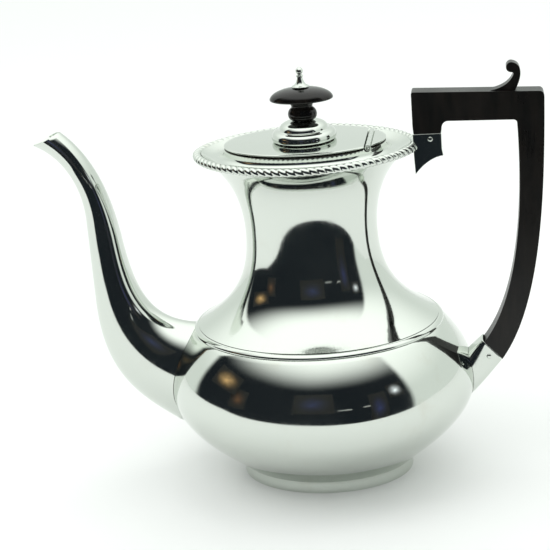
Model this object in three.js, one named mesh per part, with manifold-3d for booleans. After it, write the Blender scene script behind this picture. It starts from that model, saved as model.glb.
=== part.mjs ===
// Oval silver hot-water pot: squat belly, waisted neck, swan spout, hinged flush lid,
// ebony handle pinned into two silver sockets. Millimetres, +Z up, spout towards -X,
// handle towards +X. The oval's centre line is x = 0 until the whole pot is centred.
import * as THREE from 'three';
import { mergeVertices } from 'three/addons/utils/BufferGeometryUtils.js';
import Module from 'manifold-3d';

const wasm = await Module();
wasm.setup();

// ---- driving dimensions -------------------------------------------------------------
const GAP = 0.3;              // clearance between neighbouring pieces
const WALL = 1;               // silver sheet
const OVAL_SEGMENTS = 40;     // facets round an oval
const TURNED_SEGMENTS = 24;   // facets round a turned piece

const OVAL_INSET = 12;        // long semi-axis minus short semi-axis
const WAIST_INSET_DROP = 3.5; // the waist is nearer to round by this much
const RIM_POWER_DROP = 0.2;   // the rim is a slightly pointed oval

const FOOT_HEIGHT = 7;
const FOOT_A = 48;
const BASE_A = 47.2;          // the bottom plate
const BELLY_A = 84.5;
const BELLY_Z = 54;
const SHOULDER_A = 66.5;
const SHOULDER_Z = 90;
const WAIST_A = 35.8;
const WAIST_Z = 142;
const NECK_TOP_A = 55.4;
const NECK_TOP_Z = 184.3;
const RIM_A = 60.5;
const RIM_Z = 185.8;
const MOUTH_A = 39;
const LEDGE_Z = 189.2;        // the lid rests on this ledge
const LID_A = 43.2;
const LID_TOP_Z = 190.8;

const HINGE_X = 34.7;
const HINGE_Z = 189.4;
const HINGE_HALF_LENGTH = 17.9;
const KNUCKLE_R = 1.7;
const HINGE_PIN_R = 0.8;
const KNUCKLE_NAMES = ['body_knuckle_a', 'lid_knuckle_a', 'body_knuckle_b', 'lid_knuckle_b',
  'body_knuckle_c'];

const STUD_R = 1.5;           // threaded stud of the finial
const KNOB_BASE_Z = 201.6;
const KNOB_TOP_Z = 219.1;
const KNOB_OVAL = 0.7;        // the knob's width across the pot, as a part of its length
const HANDLE_HALF = 5.5;      // half the handle's thickness along Y
const THUMB_HALF = 3.4;
const SOCKET_HALF = 5.8;
const TENON_HALF = 3.8;
const RIVET_R = 1.3;

// ---- materials ----------------------------------------------------------------------
const silver = () => new THREE.MeshStandardMaterial({ color: 0xd9dcd6, roughness: 0.12, metalness: 1 });
const ebony = () => new THREE.MeshStandardMaterial({ color: 0x0d0c0c, roughness: 0.3, metalness: 0 });

// ---- small helpers ------------------------------------------------------------------
const at = (x, z) => new THREE.Vector2(x, z);
const smooth = (low, high, v) => THREE.MathUtils.smoothstep(v, low, high);

function addPiece(group, name, geometry, material) {
  const mesh = new THREE.Mesh(geometry, material);
  mesh.name = name;
  group.add(mesh);
  return mesh;
}

function toSolid(geometry) {
  const bare = geometry.clone();
  bare.deleteAttribute('normal');
  bare.deleteAttribute('uv');
  const merged = mergeVertices(bare, 1e-4);
  return new wasm.Manifold(new wasm.Mesh({
    numProp: 3,
    vertProperties: new Float32Array(merged.attributes.position.array),
    triVerts: new Uint32Array(merged.index.array),
  }));
}

function toGeometry(solid) {
  const mesh = solid.getMesh();
  const geometry = new THREE.BufferGeometry();
  geometry.setAttribute('position', new THREE.BufferAttribute(mesh.vertProperties, 3));
  geometry.setIndex(new THREE.BufferAttribute(mesh.triVerts, 1));
  return geometry;
}

function cut(geometry, ...tools) {
  return toGeometry(tools.reduce((solid, tool) => solid.subtract(toSolid(tool)), toSolid(geometry)));
}

function join(...geometries) {
  return toGeometry(geometries.map(toSolid).reduce((all, next) => all.add(next)));
}

function box(x0, x1, y0, y1, z0, z1) {
  const geometry = new THREE.BoxGeometry(x1 - x0, y1 - y0, z1 - z0);
  return geometry.translate((x0 + x1) / 2, (y0 + y1) / 2, (z0 + z1) / 2);
}

// A rod along Y through (x, z).
function rodAlongY(radius, halfLength, x, z, segments = 12) {
  return new THREE.CylinderGeometry(radius, radius, 2 * halfLength, segments).translate(x, 0, z);
}

// Revolves [radius, z] points about the Z axis.
function turned(points, segments = TURNED_SEGMENTS) {
  const geometry = new THREE.LatheGeometry(points.map(([r, z]) => at(r, z)), segments);
  return geometry.rotateX(Math.PI / 2);
}

// Extrudes an outline drawn in X and Z by the same amount to both sides of Y = 0.
function plate(shape, half, curveSegments = 12) {
  const geometry = new THREE.ExtrudeGeometry(shape, { depth: 2 * half, bevelEnabled: false, curveSegments });
  return geometry.rotateX(Math.PI / 2).translate(0, half, 0);
}

// Skins closed rings of points. A loop joins its last ring to its first; otherwise both
// ends are capped flat.
function skin(rings, loop = false) {
  const count = rings[0].length;
  const vertices = rings.flat();
  const faces = [];
  const steps = loop ? rings.length : rings.length - 1;
  for (let i = 0; i < steps; i += 1) {
    const low = i * count;
    const high = ((i + 1) % rings.length) * count;
    for (let j = 0; j < count; j += 1) {
      const k = (j + 1) % count;
      faces.push([low + j, low + k, high + k], [low + j, high + k, high + j]);
    }
  }
  if (!loop) {
    const last = (rings.length - 1) * count;
    const middle = (ring) => ring.reduce((sum, p) => sum.add(p), new THREE.Vector3()).divideScalar(count);
    const first = vertices.push(middle(rings[0])) - 1;
    const end = vertices.push(middle(rings[rings.length - 1])) - 1;
    for (let j = 0; j < count; j += 1) {
      const k = (j + 1) % count;
      faces.push([first, k, j], [end, last + j, last + k]);
    }
  }
  const volume = faces.reduce((sum, [p, q, r]) => {
    const normal = new THREE.Vector3().crossVectors(vertices[q], vertices[r]);
    return sum + vertices[p].dot(normal);
  }, 0);
  const order = volume > 0 ? faces : faces.map(([p, q, r]) => [p, r, q]);
  const geometry = new THREE.BufferGeometry().setFromPoints(vertices);
  geometry.setIndex(order.flat());
  return geometry;
}

// ---- the pot's ovals ----------------------------------------------------------------
// The short semi-axis that belongs to a long semi-axis at a height.
function shortAxis(a, z) {
  const alongNeck = THREE.MathUtils.clamp((z - SHOULDER_Z) / (RIM_Z - SHOULDER_Z), 0, 1);
  return a - OVAL_INSET + WAIST_INSET_DROP * Math.sin(Math.PI * alongNeck) ** 2;
}

function ovalRing(a, z) {
  const power = 2 - RIM_POWER_DROP * smooth(44, 56, a) * smooth(150, 180, z);
  const b = shortAxis(a, z);
  const bend = (v) => Math.sign(v) * Math.abs(v) ** (2 / power);
  return Array.from({ length: OVAL_SEGMENTS }, (_, i) => {
    const angle = (2 * Math.PI * i) / OVAL_SEGMENTS;
    return new THREE.Vector3(a * bend(Math.cos(angle)), b * bend(Math.sin(angle)), z);
  });
}

const ovalSolid = (profile, loop = false) => skin(profile.map((p) => ovalRing(p.x, p.y)), loop);
const ovalDisc = (a, z0, z1) => ovalSolid([at(a, z0), at(a, z1)]);

// Moves a profile sideways: positive distances go to the left of its direction.
function offsetProfile(points, distance) {
  return points.map((p, i) => {
    const before = points[Math.max(i - 1, 0)];
    const after = points[Math.min(i + 1, points.length - 1)];
    const along = after.clone().sub(before).normalize();
    return at(p.x - along.y * distance, p.y + along.x * distance);
  });
}

const bellyProfile = [
  ...new THREE.CubicBezierCurve(at(48.5, FOOT_HEIGHT), at(63, 20.8), at(BELLY_A, 35), at(BELLY_A, BELLY_Z))
    .getPoints(7).slice(0, -1),
  ...new THREE.QuadraticBezierCurve(at(BELLY_A, BELLY_Z), at(BELLY_A, 72), at(SHOULDER_A, SHOULDER_Z))
    .getPoints(6),
];
const neckProfile = [
  ...new THREE.CubicBezierCurve(at(SHOULDER_A - 0.3, SHOULDER_Z + 0.9), at(46, 103), at(WAIST_A, 116),
    at(WAIST_A, WAIST_Z)).getPoints(7).slice(0, -1),
  ...new THREE.CubicBezierCurve(at(WAIST_A, WAIST_Z), at(WAIST_A, 162), at(43.5, 177),
    at(NECK_TOP_A, NECK_TOP_Z)).getPoints(6),
];
const bellyTop = bellyProfile.pop();
bellyProfile.push(at(bellyTop.x + 1.9, bellyTop.y - 2.2));

// ---- body ---------------------------------------------------------------------------
const bellyBlank = (grow) => ovalSolid(offsetProfile(bellyProfile, -grow));

function makeBelly() {
  const inside = offsetProfile(bellyProfile, WALL).reverse();
  const shell = ovalSolid([...bellyProfile, ...inside], true);
  const holes = [];
  for (const y of [-7, 0, 7]) {
    for (const z of [47, 54, 61]) {
      const hole = new THREE.CylinderGeometry(2, 2, 24, 8).rotateZ(Math.PI / 2);
      holes.push(hole.translate(-BELLY_A, y, z));
    }
  }
  return cut(shell, ...holes);
}

// The bottom is a flat plate let into the open belly, above the foot ring.
function makeBasePlate() {
  return ovalSolid([at(BASE_A, FOOT_HEIGHT), at(BASE_A, FOOT_HEIGHT + WALL)]);
}

function makeNeck() {
  const low = neckProfile[0].y;
  const withinNeck = (z) => THREE.MathUtils.clamp(z, low, NECK_TOP_Z);
  const inside = offsetProfile(neckProfile, WALL).map((p) => at(p.x, withinNeck(p.y)));
  return ovalSolid([...neckProfile, ...inside.reverse()], true);
}

function makeShoulderWire() {
  const top = SHOULDER_Z + 0.6;
  const low = SHOULDER_Z - 1.9;
  return ovalSolid([at(66.6, low), at(68.9, low + 0.2), at(68.6, low + 1.4), at(66.9, top), at(65.2, top),
    at(65.4, low + 1)], true);
}

function makeFoot() {
  const top = FOOT_HEIGHT - GAP;
  return ovalSolid([at(FOOT_A - 2.4, 0), at(FOOT_A, 0), at(FOOT_A + 0.2, 1.6), at(FOOT_A - 0.9, 3.4),
    at(FOOT_A - 1.2, top), at(FOOT_A - 2.8, top), at(FOOT_A - 2.4, 3)], true);
}

// A dished flange that rises inside as an upright collar. The lid rests on the collar's
// inward ledge, and the hinge barrel lies in a groove across it.
function makeRimCover() {
  const collarA = LID_A - 0.2;
  const flange = new THREE.CubicBezierCurve(at(collarA + 0.2, 187), at(collarA + 0.6, 183.6),
    at(49, 182.6), at(55.6, 187.1)).getPoints(7);
  const underside = offsetProfile(flange, -WALL).slice(1, -1).reverse();
  const ledge = [at(MOUTH_A, LEDGE_Z - WALL), at(MOUTH_A, LEDGE_Z), at(collarA, LEDGE_Z)];
  const shell = ovalSolid([...ledge, ...flange, at(55.6, NECK_TOP_Z + GAP + 0.3), ...underside,
    at(collarA - WALL, LEDGE_Z - WALL)], true);
  return cut(shell, rodAlongY(KNUCKLE_R + GAP, 30, HINGE_X, HINGE_Z, 16));
}

function makeGadroon() {
  const middle = RIM_A - 2.3;
  const profile = Array.from({ length: 8 }, (_, i) => {
    const turn = (2 * Math.PI * (i + 0.5)) / 8;
    return at(middle + 2.2 * Math.cos(turn), RIM_Z + 2.2 * Math.sin(turn));
  });
  return ovalSolid(profile, true);
}

// ---- spout --------------------------------------------------------------------------
const curvePath = (...curves) => {
  const path = new THREE.CurvePath();
  curves.forEach((curve) => path.add(curve));
  return path;
};
const spoutUnderside = curvePath(
  new THREE.CubicBezierCurve(at(-81.6, 31), at(-106, 46.5), at(-124.3, 60), at(-124.3, 104)),
  new THREE.LineCurve(at(-124.3, 104), at(-123.9, 152)),
  new THREE.CubicBezierCurve(at(-123.9, 152), at(-123.9, 170), at(-131, 187), at(-148.2, 194.6)),
);
const spoutTop = curvePath(
  new THREE.CubicBezierCurve(at(-67.5, 88.5), at(-92, 90), at(-101.5, 104), at(-105.6, 141.9)),
  new THREE.CubicBezierCurve(at(-105.6, 141.9), at(-108, 158), at(-113, 185), at(-132.9, 201.4)),
);
const SPOUT_MOUTH_HALF = 7;
const SPOUT_ROOT_HALF = 21;
const SPOUT_SIDES = 20;
const SPOUT_STEPS = 18;

function spoutRing(t, inset, shift = at(0, 0)) {
  const under = spoutUnderside.getPointAt(t).add(shift);
  const top = spoutTop.getPointAt(t ** 1.75).add(shift);
  const centre = under.clone().add(top).multiplyScalar(0.5);
  const reach = under.clone().sub(centre);
  reach.setLength(reach.length() - inset);
  const half = SPOUT_MOUTH_HALF + (SPOUT_ROOT_HALF - SPOUT_MOUTH_HALF) * (1 - t) ** 1.6 - inset;
  const lip = 0.5 * smooth(0.86, 1, t);
  return Array.from({ length: SPOUT_SIDES }, (_, i) => {
    const turn = (2 * Math.PI * i) / SPOUT_SIDES;
    const along = Math.cos(turn);
    const side = Math.sin(turn) * half * (1 - lip * Math.max(0, along));
    return new THREE.Vector3(centre.x + reach.x * along, side, centre.y + reach.y * along);
  });
}

function makeSpout() {
  const steps = Array.from({ length: SPOUT_STEPS + 1 }, (_, i) => i / SPOUT_STEPS);
  const outer = skin([spoutRing(0, 0, at(22, -4)), ...steps.map((t) => spoutRing(t, 0))]);
  const bore = skin([spoutRing(0, WALL, at(24, -4)), ...steps.map((t) => spoutRing(t, WALL)),
    spoutRing(1, WALL, at(-2.5, 3.5))]);
  const shoulder = ovalDisc(SHOULDER_A + 2.8, SHOULDER_Z - 2.3, SHOULDER_Z + 20);
  return cut(outer, bore, bellyBlank(GAP), shoulder);
}

// ---- handle and its sockets -----------------------------------------------------------
const UPPER_JOINT_Z = 192.6;
const UPPER_RIVET = at(66.3, 189.4);
const LOWER_JOINT = at(94.7, 69);       // middle of the joint with the lower socket
const LOWER_JOINT_HALF = 6.8;
const LOWER_INWARD = at(-0.666, -0.746); // from the joint into the socket
const LOWER_RIVET = at(92.6, 66.6);

function handleOutline() {
  const shape = new THREE.Shape();
  shape.moveTo(57.5, UPPER_JOINT_Z);
  shape.lineTo(72.4, UPPER_JOINT_Z);
  shape.quadraticCurveTo(72.7, 198.6, 76, 198.6);
  shape.lineTo(109, 197.7);
  shape.quadraticCurveTo(111.2, 197.7, 111.2, 195.5);
  shape.bezierCurveTo(113.2, 154, 110.5, 100, 89.6, 73.6);
  shape.lineTo(99.8, 64.5);
  shape.bezierCurveTo(122, 96, 124.5, 160, 125.2, 209);
  shape.quadraticCurveTo(125.2, 212, 122.5, 212);
  shape.lineTo(58.3, 214.5);
  shape.lineTo(57.5, 213.7);
  return shape;
}

// The thumb piece: a hook that rises from the bar and curls back over itself.
function thumbOutline() {
  const shape = new THREE.Shape();
  shape.moveTo(96, 212);
  shape.bezierCurveTo(103, 213.6, 108, 216, 109.8, 220.6);
  shape.quadraticCurveTo(110.2, 221.9, 108.9, 221.9);
  shape.absarc(108.9, 224.5, 2.6, 1.5 * Math.PI, 0.4 * Math.PI, true);
  shape.bezierCurveTo(115.5, 225.5, 114, 217.5, 108.6, 212);
  return shape;
}

// A block along the lower joint's direction, standing in for tenon or mortise.
function lowerBlock(halfAcross, halfThick, start, end) {
  const block = new THREE.BoxGeometry(2 * halfAcross, 2 * halfThick, end - start);
  const angle = Math.atan2(LOWER_INWARD.x, LOWER_INWARD.y);
  const middle = LOWER_JOINT.clone().addScaledVector(LOWER_INWARD, (start + end) / 2);
  return block.rotateY(angle).translate(middle.x, 0, middle.y);
}

function makeHandle() {
  const upperTenon = box(62.3, 70.3, -TENON_HALF, TENON_HALF, 183.6, UPPER_JOINT_Z + 1);
  const lowerTenon = lowerBlock(4.6, TENON_HALF, -2, 8.5);
  const grip = plate(handleOutline(), HANDLE_HALF);
  const thumbPiece = plate(thumbOutline(), THUMB_HALF);
  const blank = join(grip, thumbPiece, upperTenon, lowerTenon);
  return cut(blank, rodAlongY(RIVET_R + GAP, 9, UPPER_RIVET.x, UPPER_RIVET.y),
    rodAlongY(RIVET_R + GAP, 9, LOWER_RIVET.x, LOWER_RIVET.y));
}

function makeUpperSocket() {
  const shape = new THREE.Shape();
  shape.moveTo(57.4, UPPER_JOINT_Z - GAP);
  shape.lineTo(57.4, 184);
  shape.lineTo(57.9, 170.6);
  shape.quadraticCurveTo(64.6, 179.3, 72.8, 180.4);
  shape.lineTo(72.2, 184);
  shape.lineTo(72.2, UPPER_JOINT_Z - GAP);
  const mortise = box(62, 70.6, -TENON_HALF - GAP, TENON_HALF + GAP, 183.3, UPPER_JOINT_Z + 1);
  const rimSlot = ovalDisc(RIM_A + 0.3, RIM_Z - 2.6, RIM_Z + 2.6);
  return cut(plate(shape, SOCKET_HALF), mortise, rimSlot,
    rodAlongY(RIVET_R + GAP, 9, UPPER_RIVET.x, UPPER_RIVET.y));
}

function makeLowerSocket() {
  const top = new THREE.QuadraticBezierCurve(at(72, 58), at(80, 67.5), at(89.4, 73.8));
  const under = new THREE.QuadraticBezierCurve(at(70, 30), at(83, 42.8), at(100, 64.3));
  const rings = [0, 0.2, 0.4, 0.6, 0.8, 1].map((t) => {
    const high = top.getPoint(t).addScaledVector(LOWER_INWARD, GAP * t);
    const low = under.getPoint(t).addScaledVector(LOWER_INWARD, GAP * t);
    const centre = high.clone().add(low).multiplyScalar(0.5);
    const reach = high.clone().sub(centre);
    const half = SOCKET_HALF + 9 * (1 - t) ** 1.8;
    const power = 2 + 6 * smooth(0.3, 1, t);
    const bend = (v) => Math.sign(v) * Math.abs(v) ** (2 / power);
    return Array.from({ length: 20 }, (_, i) => {
      const turn = (2 * Math.PI * i) / 20;
      const along = bend(Math.cos(turn));
      return new THREE.Vector3(centre.x + reach.x * along, half * bend(Math.sin(turn)),
        centre.y + reach.y * along);
    });
  });
  return cut(skin(rings), lowerBlock(4.9, TENON_HALF + GAP, -3, 8.8), bellyBlank(GAP),
    rodAlongY(RIVET_R + GAP, 12, LOWER_RIVET.x, LOWER_RIVET.y));
}

// ---- hinge --------------------------------------------------------------------------
function makeKnuckle(index) {
  const pitch = (2 * HINGE_HALF_LENGTH + GAP) / KNUCKLE_NAMES.length;
  const start = -HINGE_HALF_LENGTH + index * pitch;
  const end = start + pitch - GAP;
  const bore = HINGE_PIN_R + GAP;
  const profile = [at(bore, start), at(KNUCKLE_R, start), at(KNUCKLE_R, end), at(bore, end),
    at(bore, start)];
  return new THREE.LatheGeometry(profile, 16).translate(HINGE_X, 0, HINGE_Z);
}

function makeHingePlate() {
  const blank = ovalDisc(LID_A, LEDGE_Z + GAP, LID_TOP_Z);
  return cut(blank, box(-60, HINGE_X + KNUCKLE_R + GAP, -60, 60, 180, 200));
}

// ---- lid ----------------------------------------------------------------------------
const LID_BACK = HINGE_X - KNUCKLE_R - GAP;

function makeLidPlate() {
  const blank = ovalSolid([at(LID_A, LEDGE_Z + GAP), at(LID_A, LID_TOP_Z - 0.2), at(LID_A - 0.8, LID_TOP_Z),
    at(30, LID_TOP_Z + 0.5), at(18, LID_TOP_Z + 0.7)]);
  const studHole = new THREE.CylinderGeometry(STUD_R + GAP, STUD_R + GAP, 20, 12).rotateX(Math.PI / 2);
  return cut(blank, box(LID_BACK, 60, -60, 60, 180, 200), studHole.translate(0, 0, LEDGE_Z));
}

function makeLidBezel() {
  const top = LEDGE_Z - 0.1;
  const low = LEDGE_Z - 4.6;
  const outer = MOUTH_A - 1.6;
  const ring = ovalSolid([at(outer - 0.4, low), at(outer, top), at(outer - WALL, top),
    at(outer - WALL - 0.4, low)], true);
  return cut(ring, box(LID_BACK - 1, 60, -60, 60, 180, 200));
}

// A cushion moulding with a low dome on it, raised from sheet and open below.
function makeBoss() {
  const base = LID_TOP_Z + 1.1;
  const hole = STUD_R + GAP;
  const cushion = [[16.6, base], [17.2, base + 0.6], [17.3, base + 3.4], [16.6, base + 4.6],
    [14.6, base + 5.2], [13.3, base + 5.4]];
  const dome = [[12.6, base + 6.4], [10.6, base + 7.9], [7.8, base + 9], [5, base + 9.4]];
  const inner = [[hole, base + 9.4], [hole, base + 8.4], [7.2, base + 8], [9.8, base + 6.9],
    [11.7, base + 5.4], [12.6, base + 4.4], [15.4, base + 3.8], [16.2, base + 3], [16.2, base + 0.9],
    [15.6, base]];
  return turned([...cushion, ...dome, ...inner, cushion[0]]);
}

// An oval mushroom cap on a short neck and a flattened ball, bored through for the stud.
function makeKnob() {
  const ball = [[0, KNOB_BASE_Z], [5.4, KNOB_BASE_Z], [7.1, 202.9], [7.6, 204.8], [7, 206.9], [5.7, 208.6]];
  const neck = [[5.8, 209.6], [7.2, 212.3]];
  const cap = [[15, 212.5], [16.7, 213.2], [15.6, 215.1], [12.4, 217.1], [8.4, 218.5], [4.8, KNOB_TOP_Z],
    [0, KNOB_TOP_Z]];
  const blank = turned([...ball, ...neck, ...cap]).scale(1, KNOB_OVAL, 1);
  const bore = turned([[0, 190], [STUD_R + GAP, 190], [STUD_R + GAP, 225], [0, 225]], 16);
  return cut(blank, bore);
}

function makeFinial() {
  const seat = KNOB_TOP_Z + GAP;
  const stud = [[0, 184], [STUD_R, 184], [STUD_R, seat]];
  const flare = [[4.6, seat], [4.4, 220], [3.1, 220.9], [2, 222.6], [1.3, 224.6]];
  const tip = [[1.9, 225.2], [1.9, 225.7], [1.4, 226.2], [2, 227.6], [1.7, 229], [0.7, 230], [0, 230]];
  return turned([...stud, ...flare, ...tip], 16);
}

function makeWasher() {
  const low = LEDGE_Z - 1.2;
  const top = LEDGE_Z;
  const hole = STUD_R + GAP;
  return turned([[hole, low], [6.5, low], [6.5, top], [hole, top], [hole, low]], 20);
}

function makeNut() {
  const top = LEDGE_Z - 1.5;
  const low = top - 3;
  const hole = STUD_R + GAP;
  return turned([[hole, low], [4.2, low], [4.2, top], [hole, top], [hole, low]], 6);
}

// ---- assembly -----------------------------------------------------------------------
const pot = new THREE.Group();
const body = new THREE.Group();
const lid = new THREE.Group();
pot.add(body, lid);

addPiece(body, 'belly_bowl', makeBelly(), silver());
addPiece(body, 'base_plate', makeBasePlate(), silver());
addPiece(body, 'neck_shell', makeNeck(), silver());
addPiece(body, 'shoulder_wire', makeShoulderWire(), silver());
addPiece(body, 'foot_ring', makeFoot(), silver());
addPiece(body, 'rim_cover', makeRimCover(), silver());
addPiece(body, 'gadroon_border', makeGadroon(), silver());
addPiece(body, 'spout', makeSpout(), silver());
addPiece(body, 'upper_socket', makeUpperSocket(), silver());
addPiece(body, 'lower_socket', makeLowerSocket(), silver());
addPiece(body, 'handle', makeHandle(), ebony());
addPiece(body, 'upper_handle_rivet',
  rodAlongY(RIVET_R, SOCKET_HALF + 0.3, UPPER_RIVET.x, UPPER_RIVET.y), silver());
addPiece(body, 'lower_handle_rivet',
  rodAlongY(RIVET_R, SOCKET_HALF + 0.6, LOWER_RIVET.x, LOWER_RIVET.y), silver());
addPiece(body, 'hinge_plate', makeHingePlate(), silver());
addPiece(body, 'hinge_pin', rodAlongY(HINGE_PIN_R, HINGE_HALF_LENGTH + 0.3, HINGE_X, HINGE_Z, 10), silver());
KNUCKLE_NAMES.forEach((name, index) => {
  addPiece(name.startsWith('lid') ? lid : body, name, makeKnuckle(index), silver());
});
addPiece(lid, 'lid_plate', makeLidPlate(), silver());
addPiece(lid, 'lid_bezel', makeLidBezel(), silver());
addPiece(lid, 'knob_boss', makeBoss(), silver());
addPiece(lid, 'knob', makeKnob(), ebony());
addPiece(lid, 'finial_stud', makeFinial(), silver());
addPiece(lid, 'knob_washer', makeWasher(), silver());
addPiece(lid, 'knob_nut', makeNut(), silver());

// The origin is the middle of the whole pot's footprint, on the table.
const extent = new THREE.Box3().setFromObject(pot);
pot.position.x = -(extent.min.x + extent.max.x) / 2;
pot.updateMatrixWorld(true);

export default pot;
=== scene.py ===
import math

import bpy
import numpy as np
from mathutils import Matrix, Vector


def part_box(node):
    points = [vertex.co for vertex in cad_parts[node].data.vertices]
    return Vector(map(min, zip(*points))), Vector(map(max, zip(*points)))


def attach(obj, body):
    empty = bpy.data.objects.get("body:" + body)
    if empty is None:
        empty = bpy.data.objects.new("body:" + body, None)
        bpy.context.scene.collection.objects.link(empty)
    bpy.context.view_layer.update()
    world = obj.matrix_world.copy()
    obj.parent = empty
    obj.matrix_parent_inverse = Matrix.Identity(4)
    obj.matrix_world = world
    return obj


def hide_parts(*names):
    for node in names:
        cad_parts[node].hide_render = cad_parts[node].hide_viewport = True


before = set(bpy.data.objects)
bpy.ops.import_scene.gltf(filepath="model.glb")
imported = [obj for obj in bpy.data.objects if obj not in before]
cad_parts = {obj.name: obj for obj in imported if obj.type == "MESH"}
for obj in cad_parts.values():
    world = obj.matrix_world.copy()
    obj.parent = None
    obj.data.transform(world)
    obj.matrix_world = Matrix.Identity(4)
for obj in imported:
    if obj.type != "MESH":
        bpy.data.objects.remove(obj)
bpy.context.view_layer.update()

# ---- driving dimensions, in millimetres ------------------------------------------------
MM = 0.001
foot_low, foot_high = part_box("foot_ring")
AXIS_X = (foot_low.x + foot_high.x) / 2    # the oval's centre line in the frame, in metres

WALL = 1.0
OVAL_INSET = 12.0
WAIST_INSET_DROP = 3.5
RIM_POWER_DROP = 0.2
FOOT_HEIGHT = 7.0
FOOT_A = 48.0
BASE_A = 47.2
BELLY_A = 84.5
BELLY_Z = 54.0
SHOULDER_A = 66.5
SHOULDER_Z = 90.0
WAIST_A = 35.8
WAIST_Z = 142.0
NECK_TOP_A = 55.4
NECK_TOP_Z = 184.3
RIM_A = 60.5
RIM_Z = 185.8
MOUTH_A = 39.0
LEDGE_Z = 189.2
LID_A = 43.2
LID_TOP_Z = 190.8
HINGE_X = 34.7
HINGE_Z = 189.4
HINGE_HALF_LENGTH = 17.9
KNUCKLE_R = 1.7
HINGE_PIN_R = 0.8
STUD_R = 1.5
HANDLE_HALF = 5.5
SOCKET_HALF = 5.8
RIVET_R = 1.3
KNOB_OVAL = 0.7
GAP = 0.3
HINGE_CLEARANCE = 0.15        # between the hinge tubes and the plates on either side

OVAL_POINTS = 256
TURNED_POINTS = 96
SHARP = 38                    # edges that bend more than this many degrees stay sharp


# ---- profile tools: every profile is an array of (radius or x, z) ----------------------
def full_turn(points):
    return np.linspace(0, 2 * math.pi, points, endpoint=False)


def smooth(low, high, v):
    t = np.clip((np.asarray(v, float) - low) / (high - low), 0, 1)
    return t * t * (3 - 2 * t)


def bezier(*points, steps=24):
    points = np.array(points, float)
    t = np.linspace(0, 1, steps + 1)[:, None]
    while len(points) > 1:
        points = [a + (b - a) * t for a, b in zip(points[:-1], points[1:])]
    return np.asarray(points[0])


def arc(x, z, radius, start, end, steps=8):
    turn = np.radians(np.linspace(start, end, steps + 1))
    return np.stack([x + radius * np.cos(turn), z + radius * np.sin(turn)], 1)


def rounded(points, radius, steps=4, closed=True):
    """The polygon with its corners rounded. A number or one radius for each corner."""
    points = np.array(points, float)
    count = len(points)
    radii = np.broadcast_to(radius, count)
    out = []
    for i, corner in enumerate(points):
        if not closed and i in (0, count - 1):
            out.append(corner[None])
            continue
        back = points[i - 1] - corner
        ahead = points[(i + 1) % count] - corner
        reach = min(radii[i], 0.45 * np.linalg.norm(back), 0.45 * np.linalg.norm(ahead))
        start = corner + back / np.linalg.norm(back) * reach
        end = corner + ahead / np.linalg.norm(ahead) * reach
        out.append(bezier(start, corner, end, steps=steps))
    return np.concatenate(out)


def offset(points, distance):
    """The profile moved sideways, to the left of its direction."""
    along = np.gradient(points, axis=0)
    along /= np.linalg.norm(along, axis=1)[:, None]
    return points + np.stack([-along[:, 1], along[:, 0]], 1) * distance


def resampled(points, steps):
    gaps = np.linalg.norm(np.diff(points, axis=0), axis=1)
    length = np.concatenate([[0], np.cumsum(gaps)])
    wanted = np.linspace(0, length[-1], steps + 1)
    return np.stack([np.interp(wanted, length, points[:, k]) for k in range(points.shape[1])], 1)


# ---- meshes --------------------------------------------------------------------------------
def add_object(name, data):
    made = bpy.data.objects.new(name, data)
    bpy.context.scene.collection.objects.link(made)
    return made


def make_mesh(name, vertices, faces, sharp=SHARP):
    mesh = bpy.data.meshes.new(name)
    moved = np.asarray(vertices, float) * MM + np.array([AXIS_X, 0, 0])
    mesh.from_pydata(moved.tolist(), [], [list(map(int, f)) for f in faces])
    mesh.validate()
    mesh.polygons.foreach_set("use_smooth", [True] * len(mesh.polygons))
    mesh.set_sharp_from_angle(angle=math.radians(sharp))
    return add_object(name, mesh)


def skin(name, rings, loop=False, caps=(True, True), sharp=SHARP):
    """Joins rings of points with quads. A loop joins the last ring to the first."""
    rings = np.asarray(rings, float)
    steps, count = rings.shape[:2]
    vertices = list(rings.reshape(-1, 3))
    faces = []
    for i in range(steps if loop else steps - 1):
        low = i * count
        high = (i + 1) % steps * count
        for j in range(count):
            k = (j + 1) % count
            faces.append((low + j, low + k, high + k, high + j))
    if not loop:
        last = (steps - 1) * count
        if caps[0]:
            middle = len(vertices)
            vertices.append(rings[0].mean(axis=0))
            faces += [(middle, (j + 1) % count, j) for j in range(count)]
        if caps[1]:
            middle = len(vertices)
            vertices.append(rings[-1].mean(axis=0))
            faces += [(middle, last + j, last + (j + 1) % count) for j in range(count)]
    vertices = np.array(vertices)
    volume = 0.0
    for face in faces:
        for k in range(1, len(face) - 1):
            a, b, c = vertices[[face[0], face[k], face[k + 1]]]
            volume += np.dot(a, np.cross(b, c))
    if volume < 0:
        faces = [tuple(reversed(f)) for f in faces]
    return make_mesh(name, vertices, faces, sharp)


def turned(name, profile, loop=False, x=0.0, points=TURNED_POINTS, sharp=SHARP):
    """Revolves a profile of (radius, z) about the upright line through x."""
    profile = np.asarray(profile, float)
    turn = full_turn(points)
    rings = [np.stack([x + r * np.cos(turn), r * np.sin(turn), np.full(points, z)], 1)
             for r, z in profile]
    return skin(name, rings, loop, sharp=sharp)


def turned_across(name, profile, x, z, points=40, loop=False):
    """Revolves a profile of (radius, y) about the line along Y through (x, z)."""
    turn = full_turn(points)
    rings = [np.stack([x + r * np.cos(turn), np.full(points, y), z + r * np.sin(turn)], 1)
             for r, y in np.asarray(profile, float)]
    return skin(name, rings, loop)


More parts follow.
